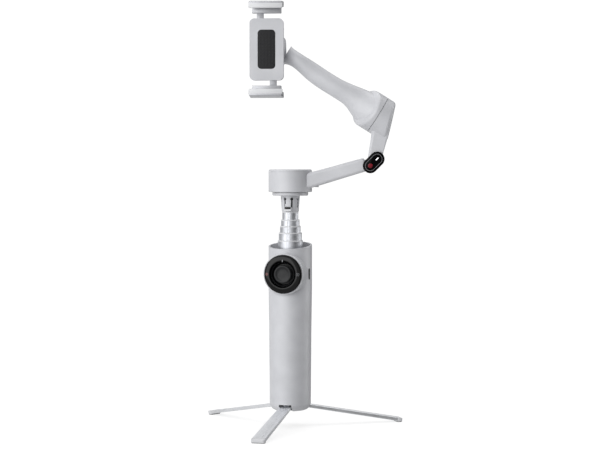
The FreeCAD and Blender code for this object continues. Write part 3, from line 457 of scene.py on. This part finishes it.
def hoop(length, width, thickness, height):     # flat, with round ends
    shape = block(length, width, 1.0, corner=0.499 * width, soft=0, segments=16)
    top = max(shape.faces, key=lambda face: face.calc_center_median().z)
    kept = bmesh.ops.inset_region(shape, faces=[top], thickness=thickness * mm)["faces"]
    bmesh.ops.delete(shape, geom=[face for face in shape.faces if face not in kept], context="FACES")
    lifted = bmesh.ops.extrude_face_region(shape, geom=list(shape.faces))
    raised = [part for part in lifted["geom"] if isinstance(part, bmesh.types.BMVert)]
    bmesh.ops.translate(shape, verts=raised, vec=(0, 0, height * mm))
    return moved(shape, z=-0.5)


def makeBadge():
    b = badge
    place = head @ at(*b["middle"]) @ turned("X", 90) @ turned("Z", b["lean"])
    glass = moved(block(b["length"], b["width"], b["thick"], corner=0.499 * b["width"], soft=0.3,
                        segments=20), z=b["thick"] / 2)
    addPiece("badge_glass", glass, "black_gloss", "pan_head", place, ["status_window"],
             material=badgeBlack)
    line = moved(hoop(b["length"] - 2 * b["lineInset"], b["width"] - 2 * b["lineInset"],
                           b["lineWidth"], 0.06), z=b["thick"] - 0.02)
    addPiece("badge_line", line, "light_plastic", "pan_head", place, material=badgePrint)
    lens = spun([(0.0, 0.3), (b["lampRadius"], 0.3), (b["lampRadius"], 0.88), (1.7, 0.96),
                 (1.0, 1.03), (0.0, 1.06)], 48)
    addPiece("badge_lamp", moved(lens, x=b["lampAt"]), "status_lamp", "pan_head", place,
             ["status_lamps"])
    bar = block(b["barLength"], b["barWidth"], 0.6, corner=0.48 * b["barWidth"], soft=0.08)
    addPiece("badge_bar", moved(bar, x=b["barAt"], z=0.7), "light_plastic", "pan_head", place,
             material=whiteGlow)


# A drawn tube and a pale guide lip at the top of each stage.
rod = {
    "outer": (10.85, 10.0, 8.95, 8.05, 7.0), "top": (145.2, 151.8, 157.4, 162.9, 169.9), "low": 96.0,
    "gap": 0.06, "lipHeight": 0.95, "recessShade": 0.14, "keyway": 0.2, "keywayHalf": 2.4,
    "neckRadius": 6.0, "neckBore": 5.3, "neckTop": 183.4,
}


def cutKeyway(shape, outer):    # shallow groove down the front of one tube
    for vert in shape.verts:
        angle = math.degrees(math.atan2(vert.co.x, -vert.co.y))
        radius = math.hypot(vert.co.x, vert.co.y)
        if abs(angle) < rod["keywayHalf"] and radius > (outer - 0.5) * mm:
            shrink = 1 - rod["keyway"] * mm / radius
            vert.co.x *= shrink
            vert.co.y *= shrink


def makeRod():
    r = rod
    bodies = ("stage_5", "stage_4", "stage_3", "stage_2", "rod_top")
    for index, (outer, top) in enumerate(zip(r["outer"], r["top"])):
        low, lip = r["low"] + index, top - r["lipHeight"]
        skin = outer - r["recessShade"]
        if index < 4:
            bore = r["outer"][index + 1] + r["gap"]
            outline = [(bore, low), (outer, low), (outer, low + 6), (skin, low + 6.3), (skin, lip + 0.2),
                       (bore, lip + 0.2)]
        else:
            bore = r["neckBore"]
            outline = [(bore, low), (outer, low), (outer, low + 6), (skin, low + 6.3), (skin, lip + 0.2),
                       (r["neckRadius"], lip + 0.2), (r["neckRadius"], r["neckTop"]), (bore, r["neckTop"])]
        tube = spun(outline, 120)
        cutKeyway(tube, outer)
        number = 5 - index
        addPiece(f"rod_tube_{number}", tube, "rod_aluminium", bodies[index],
                 replaced=[f"rod_stage_{number}"])
        inner = bore if index < 4 else r["neckRadius"]
        guide = spun([(inner, lip), (outer - 0.08, lip), (outer, lip + 0.08), (outer, top - 0.22),
                     (outer - 0.22, top), (inner + 0.1, top), (inner, top - 0.1)], 120)
        addPiece(f"rod_lip_{number}", guide, "light_plastic", bodies[index])


collar = {"low": 169.9, "top": 183.4, "liner": 6.22, "tabFront": 7.75, "lipDrop": 0.4}


def makeCollar():
    c = collar
    liner = spun([(6.0, c["low"] + 0.4), (c["liner"], c["low"] + 0.4), (c["liner"], c["top"] - 0.2),
                  (6.0, c["top"] - 0.2)], 64)
    addPiece("collar_liner", liner, "black_plastic", "rod_top")
    front = at(0, -c["tabFront"], c["low"] + c["lipDrop"])
    plate = moved(block(5.0, 0.8, 3.0, soft=0.3), y=0.25, z=4.7)
    side = [moved(block(0.55, 1.2, 2.4, soft=0.15), x=way * 2.95, y=-0.3, z=2.2) for way in (-1, 1)]
    addPiece("latch_plate", joined(plate, *side), "grey_housing", "rod_top", front, ["latch_tab"])
    lip = block(6.4, 1.5, 1.9, corner=0.5, soft=0.45)
    for vert in lip.verts:
        if vert.co.z < 0:       # the lip's underside is bowed
            vert.co.z += 0.12 * mm * (vert.co.x / (2 * mm)) ** 2
    addPiece("latch_lip", moved(lip, y=-0.75, z=0.7), "light_plastic", "rod_top", front)
    # a black block filling the opening under the latch plate: painted shade for the slot
    addPiece("latch_slot_shade", moved(block(5.3, 0.9, 2.1, soft=0.1), y=-0.75, z=2.35), "black_plastic",
             "rod_top", front)


wheel = {
    "height": 117.4, "face": 25.6, "outer": 16.4, "bore": 10.65, "cap": 7.7,
    "dotAt": -13.6, "dotRadius": 1.3, "iconAt": 13.2, "tickAt": 11.5,
    "crest": 11.8, "crownDrop": 1.3, "crownWidth": 4.4,
}


def crown(radius):      # how far the ring's face falls away below its highest line
    w = wheel
    return w["crownDrop"] * (max(radius - w["crest"], 0) / w["crownWidth"]) ** 2


def makeWheel():
    w = wheel
    facing = at(0, 0, w["height"]) @ turned("X", 90)
    face, bore, outer = w["face"], w["bore"], w["outer"]
    crest = [(radius, face - crown(radius)) for radius in (11.8, 12.4, 13.0, 13.7, 14.4, 15.0, 15.5, 15.9)]
    ring = [(bore, face - 6.2), (bore, face - 1.5), (bore + 0.12, face - 1.25), (bore + 0.6, face - 0.5),
            (bore + 0.9, face - 0.12)] + crest + [(16.2, face - 1.5), (outer, face - 1.9),
            (outer, face - 2.4), (bore + 1.0, face - 2.4), (bore + 1.0, face - 6.2)]
    addPiece("wheel_ring", spun(ring, 160), "black_gloss", "control_ring", facing, ["control_ring"])

    dot = spun([(0, -0.3), (w["dotRadius"], -0.3), (w["dotRadius"], 0.05), (0.8, 0.08), (0, 0.09)], 32)
    slope = 2 * w["crownDrop"] * (-w["dotAt"] - w["crest"]) / w["crownWidth"] ** 2
    lean = math.degrees(math.atan(slope))
    place = facing @ at(w["dotAt"], 0, face - crown(-w["dotAt"])) @ turned("Y", -lean)
    addPiece("wheel_dot", dot, "status_lamp", "control_ring", place, material=recordMark)
    icon = joined(hoop(3.0, 2.4, 0.42, 0.06), moved(block(0.8, 0.8, 0.3, corner=0.3, soft=0.05), z=0.0))
    place = facing @ at(w["iconAt"], 0, face - crown(w["iconAt"])) @ turned("Y", lean)
    addPiece("wheel_icon", icon, "light_plastic", "control_ring", place, material=greyPrint)
    tick = moved(block(0.75, 1.9, 0.34, corner=0.3, soft=0.05), y=w["tickAt"], z=face - 0.13)
    addPiece("wheel_tick", tick, "light_plastic", "control_ring", facing, material=palePrint)

    cap = w["cap"]
    dish = [(radius, 24.3 + 0.016 * radius ** 2 + (0.05 if step % 2 else 0.0))
            for step, radius in enumerate((0.0, 1.2, 1.45, 2.4, 2.65, 3.6, 3.85, 4.8))]
    top = dish + [(5.6, 24.95), (6.2, 25.25), (6.8, 25.3), (7.3, 25.1), (7.6, 24.75), (cap, 24.2),
                  (7.3, 23.0), (6.4, 22.4), (1.6, 22.0), (1.5, 18.2), (2.3, 17.0), (2.3, 15.2),
                  (1.4, 14.2), (0.0, 14.0)]
    addPiece("stick_cap", spun(top, 96), "black_plastic", "joystick", facing, ["joystick_cap"])
    bowl = [(10.25, 22.6), (10.25, 18.2), (3.4, 18.2), (3.4, 19.0), (8.6, 19.0), (8.9, 19.4),
            (9.35, 21.5), (9.5, 21.7), (9.55, 22.4), (9.65, 22.6)]
    addPiece("stick_bowl", spun(bowl, 96), "black_plastic", "handle", facing, ["joystick_bowl"])
    # a pale ring at the bowl's rim, lit where it faces the key: painted reflection for the crescent on the
    # black bowl
    reflectionRing = [(9.4, 23.2), (9.9, 23.9), (10.3, 24.6), (10.3, 22.6), (10.0, 22.6), (10.0, 23.2)]
    addPiece("stick_reflection_ring", spun(reflectionRing, 120), "steel", "handle", facing, material=reflectionRingMetal)


# Extruded bars with a groove, pale tips on rubber soles.
leg = {
    "angles": (-90, 30, 150), "hinge": 12.5, "hingeHeight": 3.6, "reach": 99.7, "floor": -13.8,
    "thick": 3.0, "start": 3.0, "rootHalf": 4.9, "tipHalf": 5.8, "tipLength": 4.8,
}


def legBar(length):     # a section with a grooved top, drawn out along X and widened to the tip
    g, half, up = leg, leg["rootHalf"], leg["thick"] / 2
    section = [(-half + 0.5, -up), (half - 0.5, -up), (half, -up + 0.5), (half, up - 0.3), (half - 0.3, up),
               (2.2, up), (2.05, up - 0.25), (1.65, up - 0.25), (1.5, up), (-half + 0.3, up),
               (-half, up - 0.3), (-half, -up + 0.5)]
    shape = bmesh.new()
    corners = [shape.verts.new((g["start"] * mm, y * mm, z * mm)) for y, z in section]
    face = shape.faces.new(corners)
    far = bmesh.ops.extrude_face_region(shape, geom=[face])
    ends = [part for part in far["geom"] if isinstance(part, bmesh.types.BMVert)]
    bmesh.ops.translate(shape, verts=ends, vec=((length - g["start"]) * mm, 0, 0))
    bmesh.ops.scale(shape, verts=ends, vec=(1, g["tipHalf"] / half, 1))
    bmesh.ops.recalc_face_normals(shape, faces=shape.faces)
    return shape


def legTip(length, inset):
    g = leg
    tip = block(g["tipLength"] - inset, 2 * (g["tipHalf"] - inset / 2) + 0.2, 4.6, corner=1.5, soft=0.5)
    return moved(tip, x=length + g["tipLength"] / 2 - 0.2, z=-0.7)


def trim(shape, height, keepAbove):     # cut at a level and close the cut
    side = -1 if keepAbove else 1
    cut = bmesh.ops.bisect_plane(shape, geom=shape.verts[:] + shape.edges[:] + shape.faces[:],
                                 plane_co=(0, 0, height * mm), plane_no=(0, 0, side), clear_outer=True)
    rim = [part for part in cut["geom_cut"] if isinstance(part, bmesh.types.BMEdge)]
    bmesh.ops.edgeloop_fill(shape, edges=rim)
    return shape


def makeLegs():
    g = leg
    drop = g["hingeHeight"] - g["floor"] - 1.55
    whole = math.hypot(g["reach"] - g["hinge"], drop)
    slope = math.degrees(math.asin(drop / whole))
    barEnd = whole - g["tipLength"]
    for number, angle in enumerate(g["angles"], start=1):
        place = turned("Z", angle) @ at(g["hinge"], 0, g["hingeHeight"]) @ turned("Y", slope)
        bar = legBar(barEnd)
        knuckle = moved(spun([(0.62, -2.8), (1.7, -2.8), (1.9, -2.6), (1.9, 2.6), (1.7, 2.8),
                              (0.62, 2.8)], 40), turn=("X", 90))
        neck = moved(block(3.4, 5.4, 2.4, soft=0.2), x=2.6)
        body = f"leg_{number}"
        addPiece(f"leg_profile_{number}", joined(bar, knuckle, neck), "leg_aluminium", body, place,
                 [f"leg_bar_{number}"], material=legMetals[number - 1])
        tip = legTip(barEnd, 0.0)
        bmesh.ops.transform(tip, matrix=place, verts=tip.verts)
        addPiece(f"leg_cap_{number}", trim(tip, g["floor"] + 0.45, True), "foot_plastic", body,
                 replaced=[f"leg_tip_{number}"])
        sole = legTip(barEnd, 0.5)
        bmesh.ops.transform(sole, matrix=place, verts=sole.verts)
        sole = trim(trim(sole, g["floor"], True), g["floor"] + 0.7, False)
        addPiece(f"leg_sole_{number}", sole, "rubber_pad", body)


# Sprung jaws with lips, ribbed pads and cover screws.
clamp = {
    "across": -18.7, "back": -20.0, "height": 306.7, "gap": 35.75, "width": 28.6, "thick": 5.0,
    "phone": 7.9, "reach": 11.3, "behind": 6.6, "depth": 8.0,
}


def makeJaw(name, way):     # way is 1 for the upper jaw, -1 for the lower one, which is turned over
    c = clamp
    place = head @ at(c["across"], c["back"], c["height"])
    if way < 0:
        place = place @ turned("Y", 180)
    deep = c["reach"] + c["behind"]
    middle = c["behind"] - deep / 2
    slab = block(c["width"], deep, c["thick"] - 1.25, soft=0)
    for vert in slab.verts:     # the outer face tapers towards the lip
        if vert.co.z > 0 and vert.co.y < 0:
            vert.co.z -= 1.1 * mm
            vert.co.x *= 0.95
    slab = moved(soften(slab, 0.75, segments=3), y=middle, z=c["gap"] + 1.25 + (c["thick"] - 1.25) / 2)
    base = moved(block(c["width"] - 0.3, deep - 0.3, 1.9, soft=0.3), y=middle, z=c["gap"] + 1.05)
    lip = moved(block(c["width"], 2.5, 4.6, soft=0.7), y=-c["reach"] + 1.25, z=c["gap"] + 0.2)
    neck = moved(block(c["width"] - 4, 5.4, 6.0, soft=0.4), y=3.9, z=c["gap"] - 2.4)
    rack = moved(block(5.8, 2.7, c["gap"] + 7.0, soft=0.2), x=-5.5, y=3.55, z=-11 + (c["gap"] + 7.0) / 2)
    teeth = [moved(block(0.7, 2.4, 0.45, soft=0), x=-2.5, y=3.55, z=-9.6 + 1.05 * tooth)
             for tooth in range(20)]
    side = f"{name}_jaw"
    addPiece(f"jaw_shell_{name}", joined(slab, base, neck, rack, *teeth), "light_plastic", side,
             place, [f"jaw_{name}"], material=jawSkin)
    addPiece(f"jaw_lip_{name}", lip, "light_plastic", side, place)
    pad = block(c["width"] - 3.4, c["phone"] - 0.8, 0.8, corner=0.8, soft=0.2)
    ribs = [moved(block(0.9, c["phone"] - 1.8, 0.5, soft=0.15), x=-11.4 + 1.9 * rib, z=-0.35)
            for rib in range(13)]
    grip = moved(joined(pad, *ribs), y=-c["phone"] / 2, z=c["gap"] + 0.55)
    addPiece(f"jaw_grip_{name}", grip, "rubber_pad", side, place, [f"jaw_pad_{name}"])


def crossScrew(radius, height, depth=0.45):     # its face is at height zero; the black cross it returns is painted shade standing in for the cross recess
    headShape = spun([(0.0, -height), (radius * 0.6, -height), (radius, -0.25), (radius, -0.08),
                      (radius - 0.1, 0.0), (radius * 0.62, 0.0), (radius * 0.5, -depth), (0.0, -depth)], 36)
    arms = [block(radius * 1.25, radius * 0.24, depth, soft=0) for arm in range(2)]
    moved(arms[1], turn=("Z", 90))
    return headShape, moved(joined(*arms), z=-depth + 0.06)


def addScrew(name, place, body, radius=1.3, height=1.2):
    shape, recessShade = crossScrew(radius, height)
    addPiece(name, shape, "steel", body, place)
    # the black cross is painted shade in the screw's recess
    addPiece(name + "_cross_shade", recessShade, "black_plastic", body, place)


def makeClamp():
    c = clamp
    makeJaw("upper", 1)
    makeJaw("lower", -1)
    back = head @ at(c["across"], c["back"] + c["depth"], c["height"])
    for row, z in enumerate((-19.5, 19.5)):
        for column, x in enumerate((-8.6, 8.6)):
            addScrew(f"cover_screw_{row}{column}", back @ at(x, -0.06, z) @ turned("X", -90), "clamp")
    front = head @ at(c["across"], c["back"], c["height"])
    pad = block(15.0, 33.0, 0.5, corner=3.2, soft=0.18)
    dots = [moved(spun([(0, 0), (0.8, 0), (0.7, 0.2), (0.4, 0.3), (0, 0.32)], 10), x=2.6 * column - 5.2,
                  y=2.6 * row - 13.0, z=0.22) for row in range(11) for column in range(5)]
    addPiece("rest_pad", moved(joined(pad, *dots), z=-0.1), "rubber_pad", "clamp", front @ turned("X", 90))


handleDetails = {
    "halfWidth": 17.6, "halfDepth": 18.1, "seamLow": 10.1, "seamHigh": 10.7,
    "threadBore": 3.175, "threadLength": 7.4, "threadPitch": 1.27,
}


def makeHandleDetails():
    h = handleDetails
    seam = spun([(0.985, h["seamLow"]), (0.996, h["seamLow"]), (0.996, h["seamHigh"]),
                 (0.985, h["seamHigh"])])
    bmesh.ops.scale(seam, verts=seam.verts, vec=(h["halfWidth"], h["halfDepth"], 1))
    addPiece("base_seam", seam, "grey_housing", "handle")

    ribs = [moved(block(6.6, 0.8, 0.8, corner=0.3, soft=0.12), z=113.2 + 1.9 * rib,
                  y=45.4 - math.sqrt(26.0 ** 2 - (113.2 + 1.9 * rib - 117.0) ** 2))
            for rib in range(5)]
    addPiece("trigger_ribs", joined(*ribs), "grey_housing", "trigger")

    bore, pitch = h["threadBore"], h["threadPitch"]
    wall = [(4.4, 0), (4.4, h["threadLength"]), (bore + 0.55, h["threadLength"])]
    turns = int(h["threadLength"] / pitch)
    for turn in reversed(range(turns)):
        low = turn * pitch + 0.3
        wall += [(bore + 0.5, low + pitch), (bore + 0.02, low + 0.62 * pitch),
                 (bore + 0.02, low + 0.38 * pitch)]
    thread = spun(wall + [(bore + 0.5, 0.3), (bore + 0.7, 0.0)], 64)
    addPiece("tripod_thread", thread, "brass_insert", "handle", replaced=["tripod_socket"])


def dressNodes():
    slots = {row["node"]: row["material_slot"] for row in frame["record"]["subparts"]}
    for name, part in frame["nodes"].items():
        part.data.materials.clear()
        part.data.materials.append(finishes[slots[name]])


placeCamera()
lightScene()
layFloor()
dressNodes()
print("camera, light and node finishes set")
makeBadge()
makeRod()
makeCollar()
makeWheel()
print("badge, rod and wheel made")
makeLegs()
makeClamp()
makeHandleDetails()
print("legs, clamp and handle details made")
